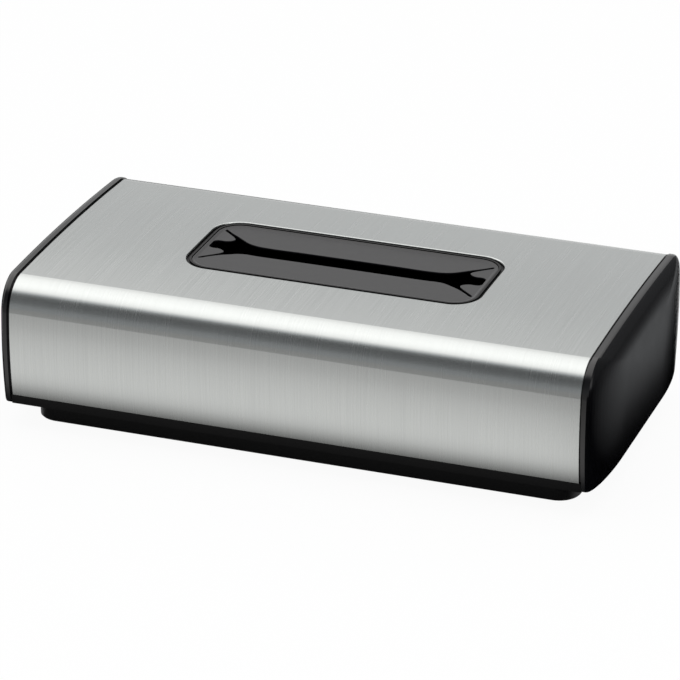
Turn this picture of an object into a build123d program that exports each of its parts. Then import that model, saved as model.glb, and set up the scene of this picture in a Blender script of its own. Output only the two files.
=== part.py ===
from build123d import *
import os
from math import cos, hypot, pi, sin, sqrt

# Tissue dispenser. Millimetres, +X along the length, +Y to the back, +Z up, table at Z = 0.
# The brushed steel cover, its end caps and the slotted membrane swing back on a rear hinge
# above a low black tray.

COVER_HALF_LENGTH = 127.5  # steel sheet only
COVER_TOP = 70.3           # highest line of the steel
SHEET = 0.8
CROWN_RADIUS = 1200.0      # slight crown of the top
BEND_RADIUS = 14.05        # outer bend between the top and the front
BOW_RADIUS = 177.7         # gentle bow of the front and back
BOW_DEPTH = 72.1           # largest half depth of the steel
BOW_HEIGHT = 44.9          # height of that widest line

CAP_GAP = 1.1              # dark line between the steel and each end cap
CAP_BAND = 1.6             # straight rim of an end cap
CAP_PROUD = 0.5            # rim height above the steel
CAP_DOME = 5.8             # bulge of the end face beyond the rim
CAP_LOW = 12.0             # underside of the cover
CAP_WALL = 2.5
CAP_CORNER = 2.5
SKIRT_LENGTH = 14.0
SKIRT_WALL = 1.6
SHEET_LOW = CAP_LOW + 4.5  # lower edge of the steel

FOOT_DROP = 1.0            # how far the rubber feet stand below the tray
TRAY_HALF_LENGTH = COVER_HALF_LENGTH - 4.6
TRAY_HALF_DEPTH = BOW_DEPTH - 13.5
TRAY_CORNER = 10.1
TRAY_WALL = 2.2
TRAY_FLOOR = 2.5
TRAY_TOP = CAP_LOW + 7.0

OPENING_LENGTH = 134.2
OPENING_DEPTH = 55.8
OPENING_CORNER = 12.8
EDGE_ROUND = 0.5           # the steel is rolled over at the opening
EDGE_GAP = 1.5             # between the steel's edge and the opening frame
LIP = 0.9                  # dark lip round the membrane
LIP_DROP = 0.15            # the lip lies this far below the steel
MEMBRANE_DROP = 0.25       # and the membrane's rim this far below the lip
MEMBRANE_STEP = 0.4        # the field lies this far below its own rim
MEMBRANE_SKIN = 0.8
SLOT_HALF = 5.0            # half width of the straight part of the slot
SLOT_MARGIN = 4.3          # from the slot's end to the steel's cut edge

KNUCKLE = 3.3
HINGE_Y = TRAY_HALF_DEPTH + 4.9
HINGE_Z = CAP_LOW + 3.5
PIN_RADIUS = 1.25
PIN_PLAY = 0.06
HINGE_AT = 74.0            # centre of each base knuckle along X
KNUCKLE_LENGTH = 8.0

LATCH_TRAVEL = 3.5
LATCH_HOOK_AT = 24.0
SCREW_RADIUS = 1.1
SCREW_PLAY = 0.05
FIT = 0.15                 # clearance between pieces of one body
APART = 0.4                # clearance between pieces that move

os.makedirs("parts", exist_ok=True)


def block(x0, x1, y0, y1, z0, z1):
    """Plain block between two corners."""
    middle = ((x0 + x1) / 2, (y0 + y1) / 2, (z0 + z1) / 2)
    return Pos(*middle) * Box(x1 - x0, y1 - y0, z1 - z0)


def rounded(half_x, half_y, radius, z0, z1):
    """Upright prism with rounded corners in plan."""
    outline = RectangleRounded(2 * half_x, 2 * half_y, radius)
    return Pos(0, 0, z0) * extrude(outline, amount=z1 - z0)


def upright(x, y, z0, z1, radius):
    """Round bar or hole that stands on end."""
    return Pos(x, y, (z0 + z1) / 2) * Cylinder(radius, z1 - z0)


def lengthwise(y, z, x0, x1, radius):
    """Round bar or hole along the dispenser."""
    return Pos((x0 + x1) / 2, y, z) * Rot(0, 90, 0) * Cylinder(radius, x1 - x0)


def save(part, name):
    part.label = name
    export_step(part, f"parts/{name}.step")


# The cover's cross-section is a crown, two bends and two bowed sides, all tangent.
def bend_centre():
    """Centre of the rear top bend in Y and Z."""
    ya = BOW_DEPTH - BOW_RADIUS
    za = BOW_HEIGHT
    zb = COVER_TOP - CROWN_RADIUS
    ra = BOW_RADIUS - BEND_RADIUS
    rb = CROWN_RADIUS - BEND_RADIUS
    span = hypot(ya, zb - za)
    along = (ra * ra - rb * rb + span * span) / (2 * span)
    off = sqrt(ra * ra - along * along)
    uy = -ya / span
    uz = (zb - za) / span
    return (ya + along * uy - off * uz, za + along * uz + off * uy)


BEND_Y, BEND_Z = bend_centre()


def towards(y0, z0, y1, z1, length):
    """Point reached from the first point through the second one."""
    span = hypot(y1 - y0, z1 - z0)
    return (y0 + (y1 - y0) * length / span, z0 + (z1 - z0) * length / span)


def section(inset, low, x=0.0, corner=0.0):
    """Cross-section of the cover, set in by inset and closed by a flat line at low."""
    bow_y = BOW_DEPTH - BOW_RADIUS
    crown_z = COVER_TOP - CROWN_RADIUS
    bow = BOW_RADIUS - inset
    crown = CROWN_RADIUS - inset
    bend = BEND_RADIUS - inset
    foot = (bow_y + sqrt(bow * bow - (low - BOW_HEIGHT) ** 2), low)
    join_side = towards(bow_y, BOW_HEIGHT, BEND_Y, BEND_Z, bow)
    join_top = towards(0.0, crown_z, BEND_Y, BEND_Z, crown)
    half_z = (low + join_side[1]) / 2
    middle_side = (bow_y + sqrt(bow * bow - (half_z - BOW_HEIGHT) ** 2), half_z)
    turn = ((join_side[0] + join_top[0]) / 2, (join_side[1] + join_top[1]) / 2)
    middle_bend = towards(BEND_Y, BEND_Z, turn[0], turn[1], bend)

    def at(point, side=1):
        return Vector(x, side * point[0], point[1])

    edges = [
        Edge.make_line(at(foot, -1), at(foot)),
        Edge.make_three_point_arc(at(foot), at(middle_side), at(join_side)),
        Edge.make_three_point_arc(at(join_side), at(middle_bend), at(join_top)),
        Edge.make_three_point_arc(at(join_top), Vector(x, 0, crown_z + crown), at(join_top, -1)),
        Edge.make_three_point_arc(at(join_top, -1), at(middle_bend, -1), at(join_side, -1)),
        Edge.make_three_point_arc(at(join_side, -1), at(middle_side, -1), at(foot, -1)),
    ]
    face = Face(Wire(edges))
    if corner:
        lowest = face.vertices().sort_by(Axis.Z)[:2]
        face = face.fillet_2d(corner, lowest)
    return face


def bar(inset, low, x0, x1, corner=0.0):
    """The cross-section drawn out from x0 to x1."""
    return Solid.extrude(section(inset, low, x0, corner), Vector(x1 - x0, 0, 0))


def shell(outer, wall, low, x0, x1):
    """Open-bottomed skin that follows the cover."""
    return bar(outer, low, x0, x1) - bar(outer + wall, low - 5, x0 - 1, x1 + 1)


# Steel cover: one sheet bent over the top, front and back, with the opening cut through it.
def steel_cover():
    sheet = shell(0, SHEET, SHEET_LOW, -COVER_HALF_LENGTH, COVER_HALF_LENGTH)
    hole = rounded(OPENING_LENGTH / 2, OPENING_DEPTH / 2, OPENING_CORNER, COVER_TOP - 6, COVER_TOP + 6)
    cover = sheet - hole
    inside = cover.edges().filter_by(lambda e: abs(e.center().Y) < OPENING_DEPTH / 2 + 0.1)
    brim = inside.filter_by(lambda e: e.center().Z > COVER_TOP - 0.5)
    brim = brim.filter_by(lambda e: abs(e.center().X) < OPENING_LENGTH / 2 + 0.1)
    return fillet(brim, EDGE_ROUND)


# End caps: moulded, with a straight rim, a domed face, a skirt inside the steel and screw bosses.
DOME_RINGS = 14
DOME_DRAW = 12.5           # how far the dome's edge curve draws in at the top
DOME_NARROW = 0.5          # share of its depth that the dome loses towards its peak
DOME_LIFT = 0.12           # the lower edge rises by this share of the draw
BOSS_X = COVER_HALF_LENGTH - 8.7
BOSS_Y = BOW_DEPTH - 7.3
BOSS_RADIUS = 3.2
BOSS_TOP = SHEET_LOW + 14


def domed_end(start, inset, reach):
    """Cushion built of rings that draw in as they rise, most of all at the front and back."""
    wires = []
    for ring in range(DOME_RINGS + 1):
        angle = pi / 2 * ring / DOME_RINGS
        inward = DOME_DRAW * (1 - cos(angle))
        low = CAP_LOW + inset + CAP_PROUD + DOME_LIFT * inward
        face = section(inset + inward, low, start + reach * sin(angle), CAP_CORNER)
        face = scale(face, by=(1, 1 - DOME_NARROW * (1 - cos(angle)), 1))
        wires.append(face.faces()[0].outer_wire())
    return Solid.make_loft(wires, ruled=True)


def end_cap(side):
    rim_start = COVER_HALF_LENGTH + CAP_GAP
    rim_end = rim_start + CAP_BAND
    skirt_start = rim_start - SKIRT_LENGTH
    skirt_inset = SHEET + FIT
    body = bar(-CAP_PROUD, CAP_LOW, rim_start, rim_end, CAP_CORNER)
    body += domed_end(rim_end, -CAP_PROUD, CAP_DOME)
    body -= bar(CAP_WALL - CAP_PROUD, CAP_LOW + CAP_WALL, rim_start - 1, rim_end - 0.2, CAP_CORNER)
    body -= bar(8.0, CAP_LOW + 8.0, rim_end - 0.3, rim_end + 1.5, CAP_CORNER)
    skirt = shell(skirt_inset, SKIRT_WALL, SHEET_LOW + FIT, skirt_start, rim_start + 0.5)
    body += skirt
    for way in (-1, 1):
        boss = upright(BOSS_X, way * BOSS_Y, SHEET_LOW + FIT, BOSS_TOP, BOSS_RADIUS)
        span = sorted((way * BOSS_Y, way * (BOW_DEPTH - 3.5)))
        rib = block(BOSS_X - 1.2, BOSS_X + 1.2, span[0], span[1], SHEET_LOW + FIT, BOSS_TOP)
        body += boss + rib
        body -= upright(BOSS_X, way * BOSS_Y, SHEET_LOW - 1, SHEET_LOW + 9.5, SCREW_RADIUS + SCREW_PLAY)
    trim = bar(skirt_inset, SHEET_LOW - 5, skirt_start - 1, rim_start) + bar(
        -CAP_PROUD, CAP_LOW, rim_start, rim_end + CAP_DOME + 5)
    body = body & trim
    return body if side > 0 else mirror(body, Plane.YZ)


# Cover frame: the black strip under the steel, carrying the rear hinge knuckles.
FRAME_TOP = SHEET_LOW - 0.2
FRAME_INNER_X = TRAY_HALF_LENGTH + 1.0
FRAME_INNER_Y = TRAY_HALF_DEPTH + 1.0
FRAME_REAR_Y = HINGE_Y - 2.3
FRAME_REAR_CORNER = 4.0


def cover_frame():
    half = COVER_HALF_LENGTH + CAP_GAP - 2 * FIT
    ring = bar(FIT, CAP_LOW, -half, half) - block(-200, 200, -200, 200, FRAME_TOP, 100)
    inner = rounded(FRAME_INNER_X, FRAME_INNER_Y, TRAY_CORNER + 1, CAP_LOW - 1, FRAME_TOP + 5)
    inner -= block(-200, 200, 0, 200, 0, 100)
    back = rounded(FRAME_INNER_X, FRAME_REAR_Y, FRAME_REAR_CORNER, CAP_LOW - 1, FRAME_TOP + 5)
    back -= block(-200, 200, -200, 0, 0, 100)
    ring -= inner + back
    lip_half = COVER_HALF_LENGTH + CAP_GAP - SKIRT_LENGTH - 0.5
    locator = shell(SHEET + 0.2, 1.6, FRAME_TOP - 0.5, -lip_half, lip_half)
    locator -= block(-200, 200, -200, 200, FRAME_TOP + 3.2, 100)
    ring += locator
    for side in (-1, 1):
        centre = side * HINGE_AT
        for way in (-1, 1):
            near = KNUCKLE_LENGTH / 2 + APART
            far = near + KNUCKLE_LENGTH
            span = sorted((centre + way * near, centre + way * far))
            ring += lengthwise(HINGE_Y, HINGE_Z, span[0], span[1], KNUCKLE)
            ring += block(span[0], span[1], HINGE_Y, HINGE_Y + KNUCKLE + 1.2, CAP_LOW, FRAME_TOP + 1.5)
        gap = KNUCKLE_LENGTH / 2 + APART
        ring -= block(centre - gap, centre + gap, FRAME_INNER_Y - 1, HINGE_Y + KNUCKLE + 0.5, 0, 40)
        reach = KNUCKLE_LENGTH * 1.5 + APART + 0.5
        ring -= lengthwise(HINGE_Y, HINGE_Z, centre - reach, centre + reach, PIN_RADIUS + PIN_PLAY)
        for way in (-1, 1):
            ring -= upright(side * BOSS_X, way * BOSS_Y, CAP_LOW - 1, 40, SCREW_RADIUS + 0.15)
            ring -= upright(side * BOSS_X, way * BOSS_Y, CAP_LOW - 1, CAP_LOW + 1.7, 2.7)
    return ring


def frame_screw(side, way):
    x = side * BOSS_X
    y = way * BOSS_Y
    head = upright(x, y, CAP_LOW + 0.2, CAP_LOW + 1.7, 2.3)
    shank = upright(x, y, CAP_LOW + 1.7, SHEET_LOW + 9, SCREW_RADIUS)
    cross = block(x - 1.4, x + 1.4, y - 0.3, y + 0.3, CAP_LOW, CAP_LOW + 0.9)
    cross += block(x - 0.3, x + 0.3, y - 1.4, y + 1.4, CAP_LOW, CAP_LOW + 0.9)
    return head + shank - cross


def crown_drop(y):
    """How far the crowned top has fallen at a distance y from its middle."""
    return CROWN_RADIUS - sqrt(CROWN_RADIUS ** 2 - y * y)


# Opening frame: black ring under the sheet whose lip fills the edge of the opening.
PLATE = 1.5
PLATE_HALF_X = OPENING_LENGTH / 2 + 10.9
PLATE_HALF_Y = OPENING_DEPTH / 2 + 10.6
PLATE_TOP = COVER_TOP - SHEET - crown_drop(PLATE_HALF_Y) - FIT
LIP_TOP = COVER_TOP - crown_drop(OPENING_DEPTH / 2) - LIP_DROP
LIP_HALF_X = OPENING_LENGTH / 2 - EDGE_GAP
LIP_HALF_Y = OPENING_DEPTH / 2 - EDGE_GAP
LIP_CORNER = OPENING_CORNER - EDGE_GAP
SCREW_X = PLATE_HALF_X - 5.0
SCREW_Y = PLATE_HALF_Y - 5.0
RETAINER_SCREWS = [(x, y) for y in (-SCREW_Y, SCREW_Y) for x in (-SCREW_X, 0.0, SCREW_X)]
FLANGE = 1.2
FLANGE_TOP = PLATE_TOP - PLATE - 0.05
RETAINER = 1.8
RETAINER_TOP = FLANGE_TOP - FLANGE - 0.05


def opening_frame():
    ring = rounded(PLATE_HALF_X, PLATE_HALF_Y, 9, PLATE_TOP - PLATE, PLATE_TOP)
    ring += rounded(LIP_HALF_X, LIP_HALF_Y, LIP_CORNER, PLATE_TOP - PLATE, LIP_TOP)
    ring -= rounded(LIP_HALF_X - LIP, LIP_HALF_Y - LIP, LIP_CORNER - LIP, PLATE_TOP - 5, LIP_TOP + 1)
    for x, y in RETAINER_SCREWS:
        ring += upright(x, y, RETAINER_TOP + 0.05, PLATE_TOP - PLATE, 2.2)
        ring -= upright(x, y, RETAINER_TOP, PLATE_TOP - 0.5, SCREW_RADIUS + SCREW_PLAY)
    return ring


# Dispensing membrane: soft moulding with a raised rim, a clamped flange and the fanned slot.
MEMBRANE_HALF_X = LIP_HALF_X - LIP - FIT
MEMBRANE_HALF_Y = LIP_HALF_Y - LIP - FIT
MEMBRANE_CORNER = LIP_CORNER - LIP - FIT
MEMBRANE_RIM = 1.3


SLOT_REACH = OPENING_LENGTH / 2 - SLOT_MARGIN
FAN_LENGTH = 22.8
FAN_HALF = [(0.0, SLOT_HALF), (3.5, 5.2), (7.0, 6.3), (10.5, 8.5), (14.0, 10.7), (18.5, 14.0),
            (22.0, 16.9), (22.3, 16.3), (18.8, 13.2), (15.2, 9.6), (14.3, 8.1), (14.2, 7.0),
            (15.4, 5.5), (17.6, 4.3), (20.2, 4.2), (21.8, 3.3), (FAN_LENGTH, 1.2), (FAN_LENGTH, 0.0)]


def fan():
    """One end of the slot: two slits that spread out and a rounded lobe between them."""
    start = SLOT_REACH - FAN_LENGTH
    corners = [(start + along, out) for along, out in FAN_HALF] + [(start, 0.0)]
    half = make_face(Polyline(*corners, close=True))
    return half + mirror(half, Plane.XZ)


def slot_outline():
    straight = Rectangle(2 * (SLOT_REACH - FAN_LENGTH) + 4, 2 * SLOT_HALF)
    right = fan()
    return straight + right + mirror(right, Plane.YZ)


def dispensing_membrane():
    top = LIP_TOP - MEMBRANE_DROP
    field = top - MEMBRANE_STEP
    under = field - MEMBRANE_SKIN
    low = FLANGE_TOP - FLANGE
    body = rounded(MEMBRANE_HALF_X, MEMBRANE_HALF_Y, MEMBRANE_CORNER, low, top)
    body += rounded(MEMBRANE_HALF_X + 4.8, MEMBRANE_HALF_Y + 4.2, 9, low, FLANGE_TOP)
    rim = MEMBRANE_RIM
    body -= rounded(MEMBRANE_HALF_X - rim, MEMBRANE_HALF_Y - rim, MEMBRANE_CORNER - rim, field, top + 1)
    body -= rounded(MEMBRANE_HALF_X - rim, MEMBRANE_HALF_Y - rim, MEMBRANE_CORNER - rim, low - 1, under)
    cut = Pos(0, 0, low - 1) * extrude(slot_outline(), amount=top - low + 2)
    return body - cut


def membrane_retainer():
    ring = rounded(PLATE_HALF_X - 1, PLATE_HALF_Y - 1, 8, RETAINER_TOP - RETAINER, RETAINER_TOP)
    low = RETAINER_TOP - RETAINER - 1
    ring -= rounded(MEMBRANE_HALF_X - 1, MEMBRANE_HALF_Y - 1, MEMBRANE_CORNER, low, RETAINER_TOP + 1)
    for x, y in RETAINER_SCREWS:
        ring -= upright(x, y, low, RETAINER_TOP + 1, SCREW_RADIUS + 0.15)
    return ring


def retainer_screw(x, y):
    low = RETAINER_TOP - RETAINER - 0.05
    body = upright(x, y, low, PLATE_TOP - 0.9, SCREW_RADIUS)
    body += upright(x, y, low - 1.5, low, 2.3)
    body -= block(x - 1.4, x + 1.4, y - 0.3, y + 0.3, low - 2, low - 0.7)
    body -= block(x - 0.3, x + 0.3, y - 1.4, y + 1.4, low - 2, low - 0.7)
    return body


# Liners: black mouldings that stiffen the sheet in front and behind.
LINER_LOW = 20.0
LINER_WALL = 1.4


def liner(side):
    half = COVER_HALF_LENGTH + CAP_GAP - SKIRT_LENGTH - 0.5
    skin = shell(SHEET + FIT, LINER_WALL, LINER_LOW, -half, half)
    keep = block(-200, 200, PLATE_HALF_Y + 1.5, 100, 0, 100)
    skin = skin & keep
    for x in (-90.0, -45.0, 0.0, 45.0, 90.0):
        rib = bar(SHEET + FIT + 0.5, LINER_LOW, x - 0.8, x + 0.8)
        rib -= bar(SHEET + 4.5, LINER_LOW - 5, x - 2, x + 2)
        skin += rib & keep
    return skin if side > 0 else mirror(skin, Plane.XZ)


# Base tray: floor, low wall inside the cover, rear arms for the hinge and front latch windows.
FLOOR_TOP = FOOT_DROP + TRAY_FLOOR
FOOT_X = TRAY_HALF_LENGTH - 17.3
FOOT_Y = TRAY_HALF_DEPTH - 14.6
GUIDE_X = TRAY_HALF_LENGTH - 12.3
GUIDE_HALF = TRAY_HALF_DEPTH - 8.6
GUIDE_PEG_Y = GUIDE_HALF - 12.0
SLIDER_FRONT = -TRAY_HALF_DEPTH + TRAY_WALL + APART
SLIDER_LENGTH = 20.0
SLIDER_LOW = FLOOR_TOP + 0.3
SLIDER_TOP = SLIDER_LOW + 2.0
SLIDER_REAR = SLIDER_FRONT + SLIDER_LENGTH
PAD_HALF = 9.0
PAD_Y0 = SLIDER_FRONT + 2.0
PAD_Y1 = PAD_Y0 + 7.5
LATCH_BOSS_X = LATCH_HOOK_AT + 9.0
LATCH_BOSS_Y = SLIDER_FRONT + 14.0
LATCH_COVER_LOW = SLIDER_TOP + 0.7
SPRING_STOP_Y = SLIDER_REAR + 10.0


def base_tray():
    tray = rounded(TRAY_HALF_LENGTH, TRAY_HALF_DEPTH, TRAY_CORNER, FOOT_DROP, TRAY_TOP)
    tray = chamfer(tray.edges().group_by(Axis.Z)[0], 0.6)
    inner_x = TRAY_HALF_LENGTH - TRAY_WALL
    inner_y = TRAY_HALF_DEPTH - TRAY_WALL
    tray -= rounded(inner_x, inner_y, TRAY_CORNER - TRAY_WALL, FLOOR_TOP, TRAY_TOP + 1)
    for side in (-1, 1):
        centre = side * HINGE_AT
        half = KNUCKLE_LENGTH / 2
        tray += block(centre - half, centre + half, inner_y + 0.5, HINGE_Y, HINGE_Z - 2.3, HINGE_Z + 2.3)
        tray += lengthwise(HINGE_Y, HINGE_Z, centre - half, centre + half, KNUCKLE)
        tray -= lengthwise(HINGE_Y, HINGE_Z, centre - half - 1, centre + half + 1, PIN_RADIUS + 0.02)
        hook = side * LATCH_HOOK_AT
        tray -= block(hook - 4.8, hook + 4.8, -TRAY_HALF_DEPTH - 1, -inner_y + 1, CAP_LOW, CAP_LOW + 4.2)
        tray += upright(side * LATCH_BOSS_X, LATCH_BOSS_Y, FLOOR_TOP - 0.5, LATCH_COVER_LOW - 0.05, 3.0)
        tray -= upright(side * LATCH_BOSS_X, LATCH_BOSS_Y, FLOOR_TOP - 1, LATCH_COVER_LOW,
                        SCREW_RADIUS + SCREW_PLAY)
        for way in (-1, 1):
            tray -= upright(side * FOOT_X, way * FOOT_Y, FOOT_DROP - 1, FLOOR_TOP - 0.6, 2.0 + SCREW_PLAY)
            peg_y = way * GUIDE_PEG_Y
            tray -= upright(side * GUIDE_X, peg_y, FLOOR_TOP - 1.6, FLOOR_TOP + 1, 1.5 + SCREW_PLAY)
    window = PAD_HALF + 1.2
    tray -= block(-window, window, PAD_Y0 - 0.8, PAD_Y1 + LATCH_TRAVEL + 0.8, 0, FLOOR_TOP + 1)
    tray += block(-18, 18, SPRING_STOP_Y, SPRING_STOP_Y + 2, FLOOR_TOP - 0.5, FLOOR_TOP + 3.5)
    return tray


def rubber_foot(side, way):
    x = side * FOOT_X
    y = way * FOOT_Y
    pad = upright(x, y, 0, FOOT_DROP - 0.02, 5.5)
    pad = chamfer(pad.edges().group_by(Axis.Z)[0], 0.35)
    return pad + upright(x, y, FOOT_DROP - 0.1, FLOOR_TOP - 0.9, 2.0)


def hinge_pin(side):
    reach = KNUCKLE_LENGTH * 1.5 + APART - 0.2
    centre = side * HINGE_AT
    return lengthwise(HINGE_Y, HINGE_Z, centre - reach, centre + reach, PIN_RADIUS)


# Pack guides: low ends that keep a flat pack of tissues in the middle of the tray.
def pack_guide(side):
    x = side * GUIDE_X
    inward = x - side * 3.4
    plate = sorted((inward, inward - side * 1.6))
    body = block(plate[0], plate[1], -GUIDE_HALF, GUIDE_HALF, FLOOR_TOP + 0.05, FLOOR_TOP + 24)
    body = fillet(body.edges().filter_by(Axis.X).group_by(Axis.Z)[-1], 8)
    foot = sorted((inward, x + side * 3.5))
    body += block(foot[0], foot[1], -GUIDE_HALF + 4, GUIDE_HALF - 4, FLOOR_TOP + 0.05, FLOOR_TOP + 1.65)
    for y in (-GUIDE_HALF + 10, 0.0, GUIDE_HALF - 10):
        gusset = Polyline((0, 0), (6.5, 0), (0, 14), close=True)
        plane = Plane(origin=(inward, y - 0.8, FLOOR_TOP + 1.2), x_dir=(side, 0, 0), z_dir=(0, -side, 0))
        body += extrude(plane * make_face(gusset), amount=-1.6 * side)
    for way in (-1, 1):
        body += upright(x, way * GUIDE_PEG_Y, FLOOR_TOP - 1.3, FLOOR_TOP + 1, 1.5)
    return body


# Latch: a slider under a screwed plate, worked by a thumb pad in the underside.
def latch_slider():
    half = LATCH_HOOK_AT + 4.0
    arm_top = CAP_LOW + 3.4
    tip = -TRAY_HALF_DEPTH - 0.5
    body = block(-half, half, SLIDER_FRONT, SLIDER_REAR, SLIDER_LOW, SLIDER_TOP)
    body += block(-PAD_HALF, PAD_HALF, PAD_Y0, PAD_Y1, FOOT_DROP + 0.7, SLIDER_LOW + 0.5)
    for step in range(3):
        y = PAD_Y0 + 1.5 + 1.9 * step
        body -= block(-PAD_HALF - 1, PAD_HALF + 1, y, y + 0.9, 0, FOOT_DROP + 1.2)
    for side in (-1, 1):
        x = side * LATCH_HOOK_AT
        body += block(x - 4.0, x + 4.0, SLIDER_FRONT, SLIDER_FRONT + 2.4, SLIDER_TOP - 0.5, arm_top)
        nose = Polyline((SLIDER_FRONT + 0.2, arm_top - 2.6), (tip, arm_top - 2.6), (tip, arm_top - 1.4),
                        (tip + 1.3, arm_top), (SLIDER_FRONT + 0.2, arm_top), close=True)
        body += extrude(Plane.YZ.offset(x - 3.5) * make_face(nose), amount=7.0)
    return body


def latch_spring():
    """Bowed leaf between the slider and the rib behind it."""
    front = SLIDER_REAR + 0.1
    rear = SPRING_STOP_Y - 0.1
    arc = ThreePointArc((-15, rear - 0.5), (0, front + 0.5), (15, rear - 0.5))
    return Pos(0, 0, FLOOR_TOP + 0.5) * extrude(thick_arc(arc), amount=2.0)


def thick_arc(arc):
    """Strip 0.5 mm wide along an arc drawn in plan."""
    outer = offset(arc, amount=0.25, side=Side.LEFT, closed=True)
    return make_face(outer.edges())


def latch_cover():
    half = LATCH_BOSS_X + 4.0
    front = SLIDER_FRONT + 2.4 + LATCH_TRAVEL + 1.6
    plate = block(-half, half, front, SPRING_STOP_Y + 3, LATCH_COVER_LOW, LATCH_COVER_LOW + 1.8)
    plate = fillet(plate.edges().filter_by(Axis.Z), 3)
    for side in (-1, 1):
        plate -= upright(side * LATCH_BOSS_X, LATCH_BOSS_Y, 0, LATCH_COVER_LOW + 5, SCREW_RADIUS + 0.2)
    plate -= block(-18.3, 18.3, SPRING_STOP_Y - 0.3, SPRING_STOP_Y + 2.3, 0, LATCH_COVER_LOW + 0.8)
    return plate


def latch_cover_screw(side):
    x = side * LATCH_BOSS_X
    top = LATCH_COVER_LOW + 1.85
    body = upright(x, LATCH_BOSS_Y, FLOOR_TOP - 0.7, top, SCREW_RADIUS)
    body += upright(x, LATCH_BOSS_Y, top, top + 1.6, 2.4)
    body -= block(x - 1.5, x + 1.5, LATCH_BOSS_Y - 0.3, LATCH_BOSS_Y + 0.3, top + 0.8, top + 3)
    body -= block(x - 0.3, x + 0.3, LATCH_BOSS_Y - 1.5, LATCH_BOSS_Y + 1.5, top + 0.8, top + 3)
    return body


save(steel_cover(), "steel_cover")
save(end_cap(-1), "left_end_cap")
save(end_cap(1), "right_end_cap")
save(cover_frame(), "cover_frame")
save(opening_frame(), "opening_frame")
save(dispensing_membrane(), "dispensing_membrane")
save(membrane_retainer(), "membrane_retainer")
save(liner(-1), "front_liner")
save(liner(1), "rear_liner")
for number, (x, y) in enumerate(RETAINER_SCREWS, start=1):
    save(retainer_screw(x, y), f"retainer_screw_{number}")
for side, hand in ((-1, "left"), (1, "right")):
    for way, end in ((-1, "front"), (1, "rear")):
        save(frame_screw(side, way), f"frame_screw_{end}_{hand}")
        save(rubber_foot(side, way), f"foot_{end}_{hand}")
    save(hinge_pin(side), f"hinge_pin_{hand}")
    save(pack_guide(side), f"pack_guide_{hand}")
    save(latch_cover_screw(side), f"latch_cover_screw_{hand}")
save(base_tray(), "base_tray")
save(latch_slider(), "latch_slider")
save(latch_spring(), "latch_spring")
save(latch_cover(), "latch_cover")
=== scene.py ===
import bmesh
import bpy
import math
from mathutils import Matrix, Vector


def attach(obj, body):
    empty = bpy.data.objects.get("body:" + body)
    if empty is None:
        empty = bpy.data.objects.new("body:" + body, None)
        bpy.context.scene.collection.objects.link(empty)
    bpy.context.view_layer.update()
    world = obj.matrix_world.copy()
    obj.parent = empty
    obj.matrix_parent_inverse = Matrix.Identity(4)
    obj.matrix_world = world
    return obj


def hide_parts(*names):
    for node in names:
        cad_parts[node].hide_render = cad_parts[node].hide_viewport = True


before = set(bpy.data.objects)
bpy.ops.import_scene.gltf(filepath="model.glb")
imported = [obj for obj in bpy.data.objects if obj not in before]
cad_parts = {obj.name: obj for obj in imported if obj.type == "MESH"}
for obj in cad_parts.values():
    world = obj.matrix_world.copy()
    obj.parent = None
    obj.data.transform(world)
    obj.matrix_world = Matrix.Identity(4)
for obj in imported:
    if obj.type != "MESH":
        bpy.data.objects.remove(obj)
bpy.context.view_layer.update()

# Camera: a long lens on a stand, in front and a little to the right, looking down at the dispenser.
# Angles, distance and lens come from edges of the photograph.
CAMERA_AZIMUTH = 19.014          # degrees to the right of straight in front
CAMERA_ELEVATION = 23.72         # degrees above level
CAMERA_ROLL = 0.615
CAMERA_OFFSET = (-0.001524, 0.02944, 1.8091)     # in the camera's own axes
CAMERA_LENS = 217.56
SENSOR_WIDTH = 36.0
FOOT_HEIGHT = 0.001              # the feet lift the tray by this much, and the camera with it


def put(name, data):
    """Makes an object and puts it in the scene."""
    made = bpy.data.objects.new(name, data)
    bpy.context.scene.collection.objects.link(made)
    return made


azimuth = math.radians(CAMERA_AZIMUTH)
elevation = math.radians(CAMERA_ELEVATION)
roll = math.radians(CAMERA_ROLL)
backward = Vector((math.sin(azimuth) * math.cos(elevation),
                   -math.cos(azimuth) * math.cos(elevation),
                   math.sin(elevation)))
level_right = Vector((0, 0, 1)).cross(backward).normalized()
level_up = backward.cross(level_right)
right = math.cos(roll) * level_right + math.sin(roll) * level_up
upward = math.cos(roll) * level_up - math.sin(roll) * level_right
turn = Matrix((right, upward, backward)).transposed()
camera = put("photo_camera", bpy.data.cameras.new("photo_camera"))
camera.data.sensor_width = SENSOR_WIDTH
camera.data.lens = CAMERA_LENS
camera.data.clip_start = 0.05
camera.data.clip_end = 50.0
camera.matrix_world = turn.to_4x4()
camera.location = turn @ Vector(CAMERA_OFFSET) + Vector((0, 0, FOOT_HEIGHT))
bpy.context.scene.camera = camera
bpy.context.scene.view_settings.view_transform = "Standard"


# Steel cover: one stainless sheet, brushed with a belt before it was bent over the top, so the
# grain follows the bend from the back over the top and down the front. It is fixed by the caps.
MM = 0.001
STEEL_LIGHT = "#B7BAB9"
STEEL_DARK = "#AFB2B1"
GRAIN_WIDTH = 0.5                # mm; real scratches are 0.05 mm, drawn this wide so that they show
GRAIN_LENGTH = 60                # mm
GRAIN_DEPTH = 0.02               # mm
GRAIN_LOW, GRAIN_HIGH = 0.30, 0.70   # the part of the noise that is spread over the finish


def linear(code):
    """sRGB hex to the linear colour that a shader takes."""
    parts = [int(code[i:i + 2], 16) / 255 for i in (1, 3, 5)]
    return [c / 12.92 if c <= 0.04045 else ((c + 0.055) / 1.055) ** 2.4 for c in parts] + [1.0]


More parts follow.
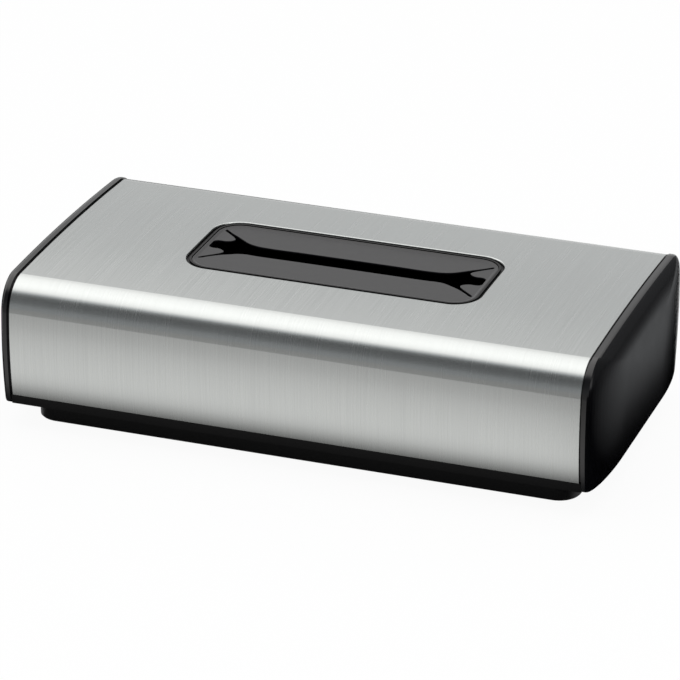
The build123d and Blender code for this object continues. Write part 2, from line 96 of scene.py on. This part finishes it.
def add(tree, kind, inputs=None, **settings):
    """Adds a node. Inputs are links or values; a setting is a socket's value or a property."""
    made = tree.nodes.new(kind)
    for name, value in settings.items():
        socket = name.replace("_", " ")
        if socket in made.inputs:
            made.inputs[socket].default_value = value
        else:
            setattr(made, name, value)
    for name, source in (inputs or {}).items():
        if isinstance(source, bpy.types.NodeSocket):
            tree.links.new(source, made.inputs[name])
        else:
            made.inputs[name].default_value = source
    return made


def fill_ramp(ramp, stops):
    """Gives a colour ramp its stops, as pairs of position and colour."""
    marks = ramp.color_ramp.elements
    marks[0].position, marks[0].color = stops[0]
    marks[1].position, marks[1].color = stops[-1]
    for position, colour in stops[1:-1]:
        marks.new(position).color = colour


def new_material(name):
    """An empty node material, and its node tree."""
    made = bpy.data.materials.new(name)
    made.use_nodes = True
    made.node_tree.nodes.clear()
    return made, made.node_tree


def dress(material, *names):
    """Puts a finish on CAD pieces."""
    for name in names:
        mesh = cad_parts[name].data
        mesh.materials.clear()
        mesh.materials.append(material)


# Stainless steel, belt brushed: a soft mirror whose highlights spread across the grain.
steel, tree = new_material("stainless_steel_brushed")
place = add(tree, "ShaderNodeTexCoord")
stretch = add(tree, "ShaderNodeMapping", {"Vector": place.outputs["Object"]},
              Scale=(1 / (GRAIN_WIDTH * MM), 1 / (GRAIN_LENGTH * MM), 1 / (GRAIN_LENGTH * MM)))
grain = add(tree, "ShaderNodeTexNoise", {"Vector": stretch.outputs["Vector"]},
            Scale=1.0, Detail=3.0, Roughness=0.65)
tone = add(tree, "ShaderNodeValToRGB", {"Fac": grain.outputs["Fac"]})
fill_ramp(tone, [(GRAIN_LOW, linear(STEEL_DARK)), (GRAIN_HIGH, linear(STEEL_LIGHT))])
polish = add(tree, "ShaderNodeMapRange", {"Value": grain.outputs["Fac"]},
             From_Min=GRAIN_LOW, From_Max=GRAIN_HIGH, To_Min=0.22, To_Max=0.28)
relief = add(tree, "ShaderNodeBump", {"Height": grain.outputs["Fac"]},
             Strength=0.05, Distance=GRAIN_DEPTH * MM)
across = add(tree, "ShaderNodeTangent", direction_type="RADIAL", axis="X")
shine = add(tree, "ShaderNodeBsdfPrincipled",
            {"Base Color": tone.outputs["Color"], "Roughness": polish.outputs["Result"],
             "Normal": relief.outputs["Normal"], "Tangent": across.outputs["Tangent"]},
            Metallic=1.0, Anisotropic=0.85, Anisotropic_Rotation=0.25)
add(tree, "ShaderNodeOutputMaterial", {"Surface": shine.outputs["BSDF"]})
dress(steel, "steel_cover")


# End caps: one ABS moulding at each end, polished in the mould to a deep black, with a plain
# rim that stands just proud of the steel. Each slides into the sheet on a skirt.
CAP_BLACK = "#07070A"
WAVE = 9                         # mm; slow waviness of a large moulded face
WAVE_DEPTH = 0.2                 # mm

# ABS, moulded in a polished tool: deep black with clear reflections that waver a little.
gloss_abs, tree = new_material("ABS_moulded_gloss")
place = add(tree, "ShaderNodeTexCoord")
flow = add(tree, "ShaderNodeTexNoise", {"Vector": place.outputs["Object"]},
           Scale=1 / (WAVE * MM), Detail=1.0)
relief = add(tree, "ShaderNodeBump", {"Height": flow.outputs["Fac"]},
             Strength=0.05, Distance=WAVE_DEPTH * MM)
wipe = add(tree, "ShaderNodeMapRange", {"Value": flow.outputs["Fac"]}, To_Min=0.14, To_Max=0.22)
shine = add(tree, "ShaderNodeBsdfPrincipled",
            {"Normal": relief.outputs["Normal"], "Roughness": wipe.outputs["Result"]},
            Base_Color=linear(CAP_BLACK), IOR=1.5)
add(tree, "ShaderNodeOutputMaterial", {"Surface": shine.outputs["BSDF"]})
dress(gloss_abs, "left_end_cap", "right_end_cap")


# Liners and cover frame: black ABS mouldings. The two ribbed liners sit inside the sheet, and the
# frame is screwed up under the caps, where it shows as the dark strip below the steel.
FRAME_BLACK = "#080809"
SPARK = 1.1                      # mm; real spark pits are 0.05 mm, drawn this coarse so that they show
SPARK_DEPTH = 0.05               # mm

# ABS, moulded in a spark-eroded tool: satin black whose fine grain breaks up the highlights.
satin_abs, tree = new_material("ABS_moulded_satin")
place = add(tree, "ShaderNodeTexCoord")
pits = add(tree, "ShaderNodeTexNoise", {"Vector": place.outputs["Object"]},
           Scale=1 / (SPARK * MM), Detail=2.0)
relief = add(tree, "ShaderNodeBump", {"Height": pits.outputs["Fac"]},
             Strength=0.25, Distance=SPARK_DEPTH * MM)
wear = add(tree, "ShaderNodeMapRange", {"Value": pits.outputs["Fac"]}, To_Min=0.38, To_Max=0.55)
shine = add(tree, "ShaderNodeBsdfPrincipled",
            {"Normal": relief.outputs["Normal"], "Roughness": wear.outputs["Result"]},
            Base_Color=linear(FRAME_BLACK), IOR=1.5, Specular_IOR_Level=0.2)
add(tree, "ShaderNodeOutputMaterial", {"Surface": shine.outputs["BSDF"]})
dress(satin_abs, "front_liner", "rear_liner", "cover_frame")


# Dispensing membrane: a thin sheet of soft thermoplastic rubber, moulded with a rounded rim and a
# flange. The fanned slot is punched after moulding, and its slits end round so that they don't
# tear. A retainer ring screwed up from inside clamps the flange under the opening frame.
MEMBRANE_GREY = "#101014"
BLOOM = 4                        # mm; faint clouds of wax that comes to the surface
BLOOM_DEPTH = 0.1                # mm
RIM_HALF_X, RIM_HALF_Y = 64.55, 25.35    # mm, as are all the membrane's sizes
RIM_CORNER = 10.25
RIM_TOP = 69.57
RIM_FOOT = 0.2                   # height of the rounding where the rim meets the field's underside
FLANGE_REACH = 4.1               # the clamped flange stands out this far from the rim
FLANGE_TOP = 67.18
FLANGE_LOW = 65.99
FIELD_INSET = 0.6                # the field's edge is buried this far inside the rim
FIELD_TOP = RIM_TOP - 0.40
FIELD_THICK = 0.80
FIELD_LOW = FIELD_TOP - FIELD_THICK
PUNCHED_EDGE = 0.17              # rounding of the slot's edge
SLOT_START = 40.0                # the fan begins this far from the middle
FAN_SHIFT = 1.8                  # the fans sit this far behind the slot's own line
FAN_SHIFT_LENGTH = 14.0          # and reach that shift over this length
CORNER_STEPS = 12

# The rim's section from the outside inwards, as inset from its outer wall and depth below its top:
# outer wall, rounded crown, and the slope that runs down into the field.
RIM_CROWN = [(0.0, 0.20), (0.06, 0.06), (0.20, 0.0), (0.55, 0.0), (0.80, 0.06), (1.05, 0.18),
             (1.35, 0.30), (1.60, 0.37), (1.85, 0.405)]

# One quarter of the slot, as distance outwards from SLOT_START and half width: the straight
# part, the outer edge of the slit, its round tip, its inner edge, and the slot's blunt end.
FAN = [(-40.0, 5.2), (-20.0, 5.2), (0.0, 5.2), (3.5, 5.4), (7.0, 6.4), (10.5, 8.6), (14.0, 11.0),
       (18.3, 14.3), (21.2, 16.9), (22.0, 17.3), (22.5, 16.8), (22.2, 16.1), (18.9, 12.9),
       (15.5, 9.6), (14.4, 8.1), (14.3, 7.0), (15.4, 5.6), (17.6, 4.5), (20.0, 4.5), (21.4, 4.2),
       (22.3, 3.4), (22.8, 2.2), (23.0, 0.8)]

# Thermoplastic rubber, moulded: dark grey with a soft sheen, faintly clouded by bloom.
soft_rubber, tree = new_material("thermoplastic_rubber_moulded")
place = add(tree, "ShaderNodeTexCoord")
bloom = add(tree, "ShaderNodeTexNoise", {"Vector": place.outputs["Object"]},
            Scale=1 / (BLOOM * MM), Detail=3.0)
relief = add(tree, "ShaderNodeBump", {"Height": bloom.outputs["Fac"]},
             Strength=0.06, Distance=BLOOM_DEPTH * MM)
wear = add(tree, "ShaderNodeMapRange", {"Value": bloom.outputs["Fac"]}, To_Min=0.30, To_Max=0.38)
shine = add(tree, "ShaderNodeBsdfPrincipled",
            {"Normal": relief.outputs["Normal"], "Roughness": wear.outputs["Result"]},
            Base_Color=linear(MEMBRANE_GREY), IOR=1.45)
add(tree, "ShaderNodeOutputMaterial", {"Surface": shine.outputs["BSDF"]})


def rim_line(inset):
    """The rim's outline seen from above, moved inwards, as points counter-clockwise."""
    radius = RIM_CORNER - inset
    points = []
    for quarter, (side_x, side_y) in enumerate(((1, 1), (-1, 1), (-1, -1), (1, -1))):
        for step in range(CORNER_STEPS + 1):
            angle = math.radians(90 * (quarter + step / CORNER_STEPS))
            points.append((side_x * (RIM_HALF_X - inset - radius) + radius * math.cos(angle),
                           side_y * (RIM_HALF_Y - inset - radius) + radius * math.sin(angle)))
    return points


def add_rim(made, section):
    """Sweeps a closed section of inset and height along the rim."""
    loops = [[made.verts.new((x * MM, y * MM, height * MM)) for x, y in rim_line(inset)]
             for inset, height in section]
    size = len(loops[0])
    for index, loop in enumerate(loops):
        upper = loops[(index + 1) % len(loops)]
        for at in range(size):
            after = (at + 1) % size
            made.faces.new((loop[at], loop[after], upper[after], upper[at]))


def slot_line():
    """The whole slot, counter-clockwise, mirrored from one quarter."""
    quarter = [(SLOT_START + along, half, FAN_SHIFT * min(max(along / FAN_SHIFT_LENGTH, 0.0), 1.0))
               for along, half in FAN]
    front = [(x, shift - half) for x, half, shift in quarter]
    rear = [(x, shift + half) for x, half, shift in reversed(quarter)]
    left_rear = [(-x, shift + half) for x, half, shift in quarter[1:]]
    left_front = [(-x, shift - half) for x, half, shift in reversed(quarter[1:])]
    return front + rear + left_rear + left_front


def draw(curve, points, kind):
    """Adds a closed line to a curve, smooth where its kind is BEZIER."""
    spline = curve.splines.new(kind)
    spline.use_cyclic_u = True
    if kind == "POLY":
        spline.points.add(len(points) - 1)
        for mark, (x, y) in zip(spline.points, points):
            mark.co = (x * MM, y * MM, 0, 1)
        return
    spline.bezier_points.add(len(points) - 1)
    for mark, (x, y) in zip(spline.bezier_points, points):
        mark.co = (x * MM, y * MM, 0)
        mark.handle_left_type = "AUTO"
        mark.handle_right_type = "AUTO"


# The field is a filled curve with a rounded edge, turned into a mesh.
sheet = bpy.data.curves.new("membrane_field", "CURVE")
sheet.dimensions = "2D"
sheet.fill_mode = "BOTH"
sheet.resolution_u = 5
sheet.bevel_depth = PUNCHED_EDGE * MM
sheet.bevel_resolution = 3
sheet.offset = -PUNCHED_EDGE * MM
sheet.extrude = (FIELD_THICK / 2 - PUNCHED_EDGE) * MM
draw(sheet, rim_line(FIELD_INSET), "POLY")
draw(sheet, slot_line(), "BEZIER")
template = put("membrane_field", sheet)
depsgraph = bpy.context.evaluated_depsgraph_get()
field = bpy.data.meshes.new_from_object(template.evaluated_get(depsgraph))
bpy.data.objects.remove(template)
field.transform(Matrix.Translation((0, 0, (FIELD_TOP - FIELD_THICK / 2) * MM)))

whole = bmesh.new()
whole.from_mesh(field)
inner_wall = [(1.85, FIELD_LOW + RIM_FOOT), (1.20, FIELD_LOW), (1.20, FLANGE_LOW)]
flange = [(-FLANGE_REACH, FLANGE_LOW), (-FLANGE_REACH, FLANGE_TOP), (0.0, FLANGE_TOP)]
add_rim(whole, flange + [(inset, RIM_TOP - depth) for inset, depth in RIM_CROWN] + inner_wall)
bmesh.ops.recalc_face_normals(whole, faces=whole.faces)
soft_mesh = bpy.data.meshes.new("soft_membrane")
whole.to_mesh(soft_mesh)
whole.free()
for face in soft_mesh.polygons:
    face.use_smooth = True
soft_mesh.set_sharp_from_angle(angle=math.radians(40))
soft_mesh.materials.append(soft_rubber)
soft_membrane = put("soft_membrane", soft_mesh)
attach(soft_membrane, "cover")
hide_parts("dispensing_membrane")
dress(soft_rubber, "dispensing_membrane")
dress(satin_abs, "opening_frame", "membrane_retainer")


# Tray and pack guides: a shallow ABS tray that the cover stands on and is hinged to, in the same
# satin black as the frame. Two walls pegged into it keep the pack of tissues in the middle.
dress(satin_abs, "base_tray", "pack_guide_left", "pack_guide_right")


# Latch: a small ABS slider behind the tray's front wall, with a finger pad reached from below. A
# cover with two screws holds it down, and a bowed leaf spring behind it pushes it forward.
dress(satin_abs, "latch_slider", "latch_cover")


# Feet: four low discs of black rubber, each moulded with a stem that is pushed into a hole in the
# floor of the tray. They keep it from sliding when a tissue is pulled.
RUBBER_BLACK = "#141414"
RUBBER_GRAIN = 10 / 9            # mm; the real grain is 0.1 mm, drawn this coarse so that it shows

# Natural rubber, moulded: a dull black that takes hardly any highlight.
rubber, tree = new_material("natural_rubber_moulded")
place = add(tree, "ShaderNodeTexCoord")
dust = add(tree, "ShaderNodeTexNoise", {"Vector": place.outputs["Object"]},
           Scale=1 / (RUBBER_GRAIN * MM), Detail=2.0)
wear = add(tree, "ShaderNodeMapRange", {"Value": dust.outputs["Fac"]}, To_Min=0.7, To_Max=0.9)
shine = add(tree, "ShaderNodeBsdfPrincipled", {"Roughness": wear.outputs["Result"]},
            Base_Color=linear(RUBBER_BLACK), IOR=1.52)
add(tree, "ShaderNodeOutputMaterial", {"Surface": shine.outputs["BSDF"]})
dress(rubber, "foot_front_left", "foot_front_right", "foot_rear_left", "foot_rear_right")


# Fasteners: the rear hinge's two turned pins, the screws and the latch's leaf spring, all of
# plated steel. Most are seen only when the cover stands open.
ZINC_GREY = "#B9BCC0"
SPANGLE = 2 / 3                  # mm; real crystals are 0.1 mm, drawn this coarse so that they show

# Zinc-plated steel: bright grey metal, cloudy where the crystals of the plating differ.
zinc, tree = new_material("zinc_plated_steel")
place = add(tree, "ShaderNodeTexCoord")
cloud = add(tree, "ShaderNodeTexNoise", {"Vector": place.outputs["Object"]},
            Scale=1 / (SPANGLE * MM), Detail=2.0)
wear = add(tree, "ShaderNodeMapRange", {"Value": cloud.outputs["Fac"]}, To_Min=0.25, To_Max=0.45)
shine = add(tree, "ShaderNodeBsdfPrincipled", {"Roughness": wear.outputs["Result"]},
            Base_Color=linear(ZINC_GREY), Metallic=1.0)
add(tree, "ShaderNodeOutputMaterial", {"Surface": shine.outputs["BSDF"]})
dress(zinc, "hinge_pin_left", "hinge_pin_right", "latch_spring",
      *[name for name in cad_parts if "screw" in name])


# Studio floor: one board painted white that runs out of sight on all sides. The camera sees it
# plain white, with a little of the dispenser's shadow.
FLOOR_HALF = 6.0
FLOOR_WHITE = "#EDEDED"
FLOOR_SHARE = 0.92               # the rest is paint that takes the shadow
FLOOR_GLOW = 1.02


def white_share(tree, amount):
    """How white a ray sees the set: camera, gloss and glass see the set's own colour."""
    path = add(tree, "ShaderNodeLightPath")
    seen = add(tree, "ShaderNodeMath",
               {0: path.outputs["Is Camera Ray"], 1: path.outputs["Is Glossy Ray"]}, operation="MAXIMUM")
    seen = add(tree, "ShaderNodeMath",
               {0: seen.outputs[0], 1: path.outputs["Is Transmission Ray"]}, operation="MAXIMUM")
    return add(tree, "ShaderNodeMath", {0: seen.outputs[0], 1: amount}, operation="MULTIPLY").outputs[0]


def board(name, low, high, material):
    """Flat board between two opposite corners, level or upright, that isn't part of the object."""
    (x0, y0, z0), (x1, y1, z1) = low, high
    if z0 == z1:
        corners = [(x0, y0, z0), (x1, y0, z0), (x1, y1, z0), (x0, y1, z0)]
    else:
        corners = [(x0, y0, z0), (x1, y1, z0), (x1, y1, z1), (x0, y0, z1)]
    mesh = bpy.data.meshes.new(name)
    mesh.from_pydata(corners, [], [(0, 1, 2, 3)])
    mesh.materials.append(material)
    made = put(name, mesh)
    return made


# Emulsion paint, rolled white: no gloss at all.
paint, tree = new_material("emulsion_painted_white")
coat = add(tree, "ShaderNodeBsdfDiffuse", Color=linear(FLOOR_WHITE))
glow = add(tree, "ShaderNodeEmission", Color=(1, 1, 1, 1), Strength=FLOOR_GLOW)
mix = add(tree, "ShaderNodeMixShader",
          {0: white_share(tree, FLOOR_SHARE), 1: coat.outputs[0], 2: glow.outputs[0]})
add(tree, "ShaderNodeOutputMaterial", {"Surface": mix.outputs[0]})
board("studio_floor", (-FLOOR_HALF, -FLOOR_HALF, 0), (FLOOR_HALF, FLOOR_HALF, 0), paint)


# Front card and wall: what the curved front of the steel reflects, painted into their glow: a strip
# of floor with the dispenser's painted shadow at its near edge and a painted pool of light that falls
# off into the darker room in front. Only metal and gloss see these and the other cards.
CARD_HEIGHT = 0.0004
CARD_HALF = 2.5
CARD_NEAR = 0.055                # the card's own edge, under the front edge of the cover
FRONT_NEAR = 0.085               # where its brightness starts to change
FRONT_FAR = 2.6
WALL_HALF = 4.0
WALL_TOP = 5.0
WARM = (1.015, 1.0, 0.985)
COOL = (0.975, 1.0, 1.025)
# The front card's glow is painted light and shadow: dark over its first few centimetres, a painted
# shadow of the dispenser on the floor, then a painted pool of light that falls off towards the room.
FRONT_PAINTED_LEVELS = [(0.0, 0.12), (0.013, 0.42), (0.03, 0.80), (0.045, 1.05), (0.075, 1.15), (0.12, 1.10),
                (0.16, 1.03), (0.20, 0.95), (0.25, 0.79), (0.30, 0.59), (0.343, 0.50), (0.39, 0.47),
                (0.56, 0.44), (1.0, 0.42)]
WALL_LEVELS = [(0.0, 0.42), (0.06, 0.40), (0.115, 0.37), (0.173, 0.31), (0.224, 0.24), (0.365, 0.18),
               (0.435, 0.16), (0.534, 0.16), (0.634, 0.18), (0.757, 0.30), (0.915, 0.70), (1.0, 1.0)]


def gloss_only(name, low, high, material):
    """A board that shows in gloss and nowhere else."""
    made = board(name, low, high, material)
    made.visible_camera = False
    made.visible_diffuse = False
    made.visible_shadow = False
    made.visible_transmission = False


def along(axis, start, end):
    """A measure for faded: 0 at start and 1 at end, along one axis."""
    def measure(tree, split):
        share = add(tree, "ShaderNodeMapRange", {"Value": split.outputs[axis]},
                    From_Min=start, From_Max=end)
        return share.outputs["Result"]
    return measure


def faded(name, measure, levels, tint=(1.0, 1.0, 1.0), dimmer=None):
    """Lit card whose brightness follows levels over one measure, times another if there is one."""
    made, tree = new_material(name)
    place = add(tree, "ShaderNodeTexCoord")
    split = add(tree, "ShaderNodeSeparateXYZ", {"Vector": place.outputs["Object"]})
    ramp = add(tree, "ShaderNodeValToRGB", {"Fac": measure(tree, split)})
    fill_ramp(ramp, [(position, (*[level * part for part in tint], 1)) for position, level in levels])
    glow = add(tree, "ShaderNodeEmission",
               {"Color": ramp.outputs["Color"], "Strength": dimmer(tree, split) if dimmer else 1.0})
    add(tree, "ShaderNodeOutputMaterial", {"Surface": glow.outputs[0]})
    return made


def forward(tree, split):
    """0 at FRONT_NEAR and 1 at the far edge of the front card, on a logarithmic scale."""
    flip = add(tree, "ShaderNodeMath", {0: split.outputs["Y"], 1: -1 / FRONT_NEAR}, operation="MULTIPLY")
    return add(tree, "ShaderNodeMath", {0: flip.outputs[0], 1: FRONT_FAR / FRONT_NEAR},
               operation="LOGARITHM").outputs[0]


# Front card: painted shadow of the dispenser close in, then painted light falling off towards the room.
gloss_only("studio_front_card", (-CARD_HALF, -FRONT_FAR, CARD_HEIGHT),
           (CARD_HALF, -CARD_NEAR, CARD_HEIGHT), faded("front_card_painted_shadow_and_light", forward, FRONT_PAINTED_LEVELS, WARM))
gloss_only("studio_front_wall", (-WALL_HALF, -FRONT_FAR, 0), (WALL_HALF, -FRONT_FAR, WALL_TOP),
           faded("card_wall_faded", along("Z", 0.0, WALL_TOP), WALL_LEVELS, COOL))


# Side cards: two dim cards on the floor beside the dispenser, which the glossy caps reflect low
# down. Their glow is painted shade: black right beside the dispenser as a painted shadow on the
# floor, then dim, fading out away from it, and towards the front.
SIDE_HEIGHT = 0.0008
SIDE_NEAR = 0.13
SIDE_FAR = 1.6
SIDE_FRONT_RIGHT, SIDE_FRONT_LEFT = -0.5, -0.07
SIDE_FADE = (0.14, 0.34)         # from beside the dispenser to a hand's width out
SIDE_RISE = (-0.02, 0.10)        # dark in front of this stretch and full behind it
SIDE_PAINTED_LEVELS = [(0.0, 0.0), (0.05, 0.03), (0.10, 0.25), (0.18, 0.27), (0.40, 0.10), (1.0, 0.05)]


def outward(tree, split):
    """0 beside the dispenser and 1 a hand's width out, on either side."""
    out = add(tree, "ShaderNodeMath", {0: split.outputs["X"]}, operation="ABSOLUTE")
    share = add(tree, "ShaderNodeMapRange", {"Value": out.outputs[0]},
                From_Min=SIDE_FADE[0], From_Max=SIDE_FADE[1])
    return share.outputs["Result"]


# Side cards' glow: painted shadow right beside the dispenser, then dim painted shade that fades out.
side_card = faded("side_card_painted_shade", outward, SIDE_PAINTED_LEVELS, COOL, along("Y", *SIDE_RISE))
gloss_only("studio_side_card_right", (SIDE_NEAR, SIDE_FRONT_RIGHT, SIDE_HEIGHT),
           (SIDE_FAR, SIDE_FAR, SIDE_HEIGHT), side_card)
gloss_only("studio_side_card_left", (-SIDE_FAR, SIDE_FRONT_LEFT, SIDE_HEIGHT),
           (-SIDE_NEAR, SIDE_FAR, SIDE_HEIGHT), side_card)


# Side flag and back card: a black cloth flag on the right keeps the cap dark, and a pale grey
# card behind gives the rear edge of the steel its light line.
FLAG_X = 0.40
FLAG_FRONT = -0.05
FLAG_TOP = 1.0                   # the levels of both run from the floor to this height
BACK_Y = 2.6
BACK_TOP = 2.0
FLAG_LEVELS = [(0.0, 0.10), (0.2, 0.14), (0.6, 0.17), (1.0, 0.18)]
BACK_LEVELS = [(0.0, 0.90), (1.0, 0.84)]
gloss_only("studio_side_flag", (FLAG_X, FLAG_FRONT, 0), (FLAG_X, BACK_Y, FLAG_TOP),
           faded("duvetyne_flag_black", along("Z", 0.0, FLAG_TOP), FLAG_LEVELS, COOL))
gloss_only("studio_back_card", (-WALL_HALF, BACK_Y, 0), (WALL_HALF, BACK_Y, BACK_TOP),
           faded("grey_card_rear", along("Z", 0.0, FLAG_TOP), BACK_LEVELS))


# Overhead box: a broad sheet of diffuser cloth, lit from above, that the flat top of the steel
# and the membrane reflect. It is brightest over its front third.
OVERHEAD_HALF = 2.2
OVERHEAD_FRONT, OVERHEAD_BACK = -0.50, 1.50
OVERHEAD_HEIGHT = 1.0
OVERHEAD_LEVELS = [(0.0, 1.30), (0.06, 1.80), (0.12, 2.0), (0.25, 2.2), (0.57, 1.96), (0.73, 1.72),
                   (0.90, 1.45), (1.0, 0.92)]
gloss_only("studio_overhead_box", (-OVERHEAD_HALF, OVERHEAD_FRONT, OVERHEAD_HEIGHT),
           (OVERHEAD_HALF, OVERHEAD_BACK, OVERHEAD_HEIGHT),
           faded("diffuser_cloth_lit", along("Y", OVERHEAD_FRONT, OVERHEAD_BACK), OVERHEAD_LEVELS, WARM))


# Room and fill: the even light of a white room, plain white where the camera looks past the floor,
# and one large soft lamp above that gives the shadow its direction.
ROOM_WHITE = "#E8E9EA"
world = bpy.data.worlds.new("studio_world")
bpy.context.scene.world = world
world.use_nodes = True
tree = world.node_tree
tree.nodes.clear()
room = add(tree, "ShaderNodeBackground", Color=linear(ROOM_WHITE), Strength=0.8)
backdrop = add(tree, "ShaderNodeBackground", Color=(1, 1, 1, 1), Strength=1.0)
mix = add(tree, "ShaderNodeMixShader",
          {0: white_share(tree, 1.0), 1: room.outputs[0], 2: backdrop.outputs[0]})
add(tree, "ShaderNodeOutputWorld", {"Surface": mix.outputs[0]})

lamp = bpy.data.lights.new("studio_fill", "AREA")
lamp.shape = "RECTANGLE"
lamp.size = 2.0
lamp.size_y = 1.2
lamp.energy = 6.0
fill = put("studio_fill", lamp)
fill.location = (0.0, -0.2, 1.4)
fill.visible_glossy = False
